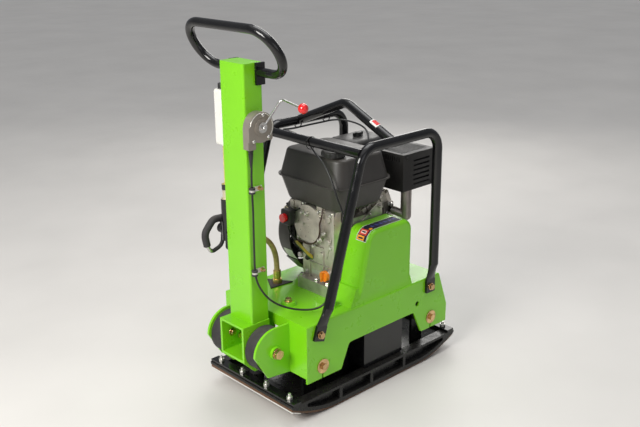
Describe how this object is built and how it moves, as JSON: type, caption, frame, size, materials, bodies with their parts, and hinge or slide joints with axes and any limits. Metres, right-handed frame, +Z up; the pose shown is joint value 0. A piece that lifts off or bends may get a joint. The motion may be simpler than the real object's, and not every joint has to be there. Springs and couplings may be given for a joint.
{
  "type": "plate compactor",
  "caption": "Reversible petrol plate compactor: upright folding column with ring handle, engine in a tube cage on a sprung console over a cast base plate.",
  "frame": {"origin": "on the ground under the middle of the sole", "axes": "+X forwards, away from the operator's column; +Y to the machine's left; +Z up"},
  "size_m": [0.8123, 0.4483, 1.1685],
  "materials": {
    "green_paint": "gloss lime green powder coat",
    "black_paint": "gloss black paint",
    "black_casting": "black painted casting",
    "mat_amber": "amber polyurethane, satin",
    "zinc": "bright zinc plate",
    "yellow_zinc": "yellow zinc plate",
    "rubber_black": "matt black rubber",
    "engine_alloy": "sand-cast aluminium",
    "machined_steel": "machined steel",
    "cast_steel": "plain casting",
    "tank_black": "semi-matt black enamel",
    "engine_plastic": "black moulded plastic",
    "muffler_steel": "heat-tinted steel",
    "red_plastic": "red gloss plastic",
    "orange_plastic": "orange plastic",
    "clear_white": "milky translucent plastic",
    "hose_tan": "tan braided hose cover",
    "brass": "plain brass",
    "cable_black": "black sleeve"
  },
  "bodies": {
    "machine": {"base_plate": "black_casting", "paving_mat": "mat_amber", "clamp_bars": "black_paint", "clamp_strips": "zinc", "clamp_bolts": "zinc", "exciter_housing": "black_casting", "exciter_covers": "black_casting", "bearings": "machined_steel", "shock_mounts": "rubber_black", "frame_bolts": "yellow_zinc", "console": "green_paint", "belt_guard": "black_paint", "cage_hoop_right": "black_paint", "cage_hoop_left": "black_paint", "cage_crossbar": "black_paint", "lifting_arch": "black_paint", "belt_cover": "green_paint", "drive_belt": "rubber_black", "engine_rails": "engine_alloy", "crankcase": "engine_alloy", "cylinder": "engine_alloy", "fan_housing": "tank_black", "recoil_cover": "tank_black", "recoil_rope": "cable_black", "fuel_tank": "tank_black", "muffler": "muffler_steel", "muffler_guard": "tank_black", "air_cleaner": "engine_plastic", "carburettor": "engine_alloy", "switch_box": "engine_plastic", "pivot_bolts": "yellow_zinc", "rubber_discs": "rubber_black", "bump_stop": "rubber_black", "hose_union": "brass"},
    "handle": {"handle_column": "green_paint", "ring_handle": "black_paint", "throttle_housing": "zinc", "cable_clips": "zinc", "throttle_cable": "cable_black", "reservoir": "clear_white", "pump": "black_paint", "hydraulic_hose": "hose_tan"},
    "throttle_lever": {"throttle_lever": "red_plastic"},
    "throttle_arm": {"throttle_arm": "zinc"},
    "travel_lever": {"travel_lever": "rubber_black"},
    "shift_piston": {"shift_piston": "machined_steel"},
    "crank": {"crankshaft": "machined_steel", "clutch_drum": "cast_steel", "flywheel": "cast_steel"},
    "exciter_driven": {"exciter_shaft_driven": "machined_steel", "exciter_gear_driven": "machined_steel", "exciter_pulley": "cast_steel"},
    "exciter_free": {"exciter_shaft_free": "machined_steel", "exciter_gear_free": "machined_steel"},
    "fuel_cap": {"fuel_cap": "engine_plastic"},
    "air_cleaner_knob": {"air_cleaner_knob": "engine_plastic"},
    "engine_switch": {"engine_switch": "red_plastic"},
    "oil_dipstick": {"oil_dipstick": "orange_plastic"},
    "recoil_grip": {"recoil_grip": "engine_plastic"},
    "reservoir_cap": {"reservoir_cap": "engine_plastic"}
  },
  "joints": [
    {"name": "handle_tilt", "type": "hinge", "parent": "machine", "child": "handle", "pos_m": [-0.361, 0, 0.212], "axis": [0, -1, 0], "range_deg": [0, 48], "deforming": ["throttle_cable", "hydraulic_hose"]},
    {"name": "throttle_lever_turn", "type": "hinge", "parent": "handle", "child": "throttle_lever", "pos_m": [-0.358, -0.08, 0.882], "axis": [0, 1, 0], "range_deg": [-30, 45]},
    {"name": "throttle_arm_turn", "type": "hinge", "parent": "machine", "child": "throttle_arm", "pos_m": [0.146, 0.014, 0.604], "axis": [0, 1, 0], "range_deg": [-16, 24]},
    {"name": "travel_lever_turn", "type": "hinge", "parent": "handle", "child": "travel_lever", "pos_m": [-0.366, 0.104, 0.546], "axis": [0, 1, 0], "range_deg": [-18, 18]},
    {"name": "shift_piston_slide", "type": "slide", "parent": "machine", "child": "shift_piston", "axis": [0, 1, 0], "range_m": [-0.0091, 0.0091]},
    {"name": "crank_spin", "type": "hinge", "parent": "machine", "child": "crank", "pos_m": [0.01, 0, 0.455], "axis": [0, 1, 0], "continuous": true},
    {"name": "exciter_driven_spin", "type": "hinge", "parent": "machine", "child": "exciter_driven", "pos_m": [0.045, 0, 0.112], "axis": [0, 1, 0], "continuous": true},
    {"name": "exciter_free_spin", "type": "hinge", "parent": "machine", "child": "exciter_free", "pos_m": [-0.065, 0, 0.112], "axis": [0, 1, 0], "continuous": true},
    {"name": "fuel_cap_turn", "type": "hinge", "parent": "machine", "child": "fuel_cap", "pos_m": [-0.078, -0.072, 0.75], "axis": [0, 0, 1], "range_deg": [0, 90]},
    {"name": "air_cleaner_knob_turn", "type": "hinge", "parent": "machine", "child": "air_cleaner_knob", "pos_m": [0.2, 0.1, 0.735], "axis": [0, 0, 1], "range_deg": [0, 1080]},
    {"name": "engine_switch_turn", "type": "hinge", "parent": "machine", "child": "engine_switch", "pos_m": [-0.14, 0.09, 0.527], "axis": [-1, 0, 0], "range_deg": [0, 60]},
    {"name": "oil_dipstick_turn", "type": "hinge", "parent": "machine", "child": "oil_dipstick", "pos_m": [-0.1, -0.056, 0.362], "axis": [-1, 0, 0], "range_deg": [0, 720]},
    {"name": "recoil_pull", "type": "slide", "parent": "machine", "child": "recoil_grip", "axis": [0, 0.9063, 0.4226], "range_m": [0, 0.45], "stiffness_N_per_m": 20, "deforming": ["recoil_rope"]},
    {"name": "reservoir_cap_turn", "type": "hinge", "parent": "handle", "child": "reservoir_cap", "pos_m": [-0.368, 0.076, 0.978], "axis": [0, 0, 1], "range_deg": [0, 720]}
  ],
  "couplings": [
    {"joint": "throttle_arm_turn", "follows": "throttle_lever_turn", "ratio": 0.5},
    {"joint": "shift_piston_slide", "follows": "travel_lever_turn", "m_per_rad": 0.0286},
    {"joint": "exciter_driven_spin", "follows": "crank_spin", "ratio": 1.1014},
    {"joint": "exciter_free_spin", "follows": "crank_spin", "ratio": -1.1014}
  ]
}
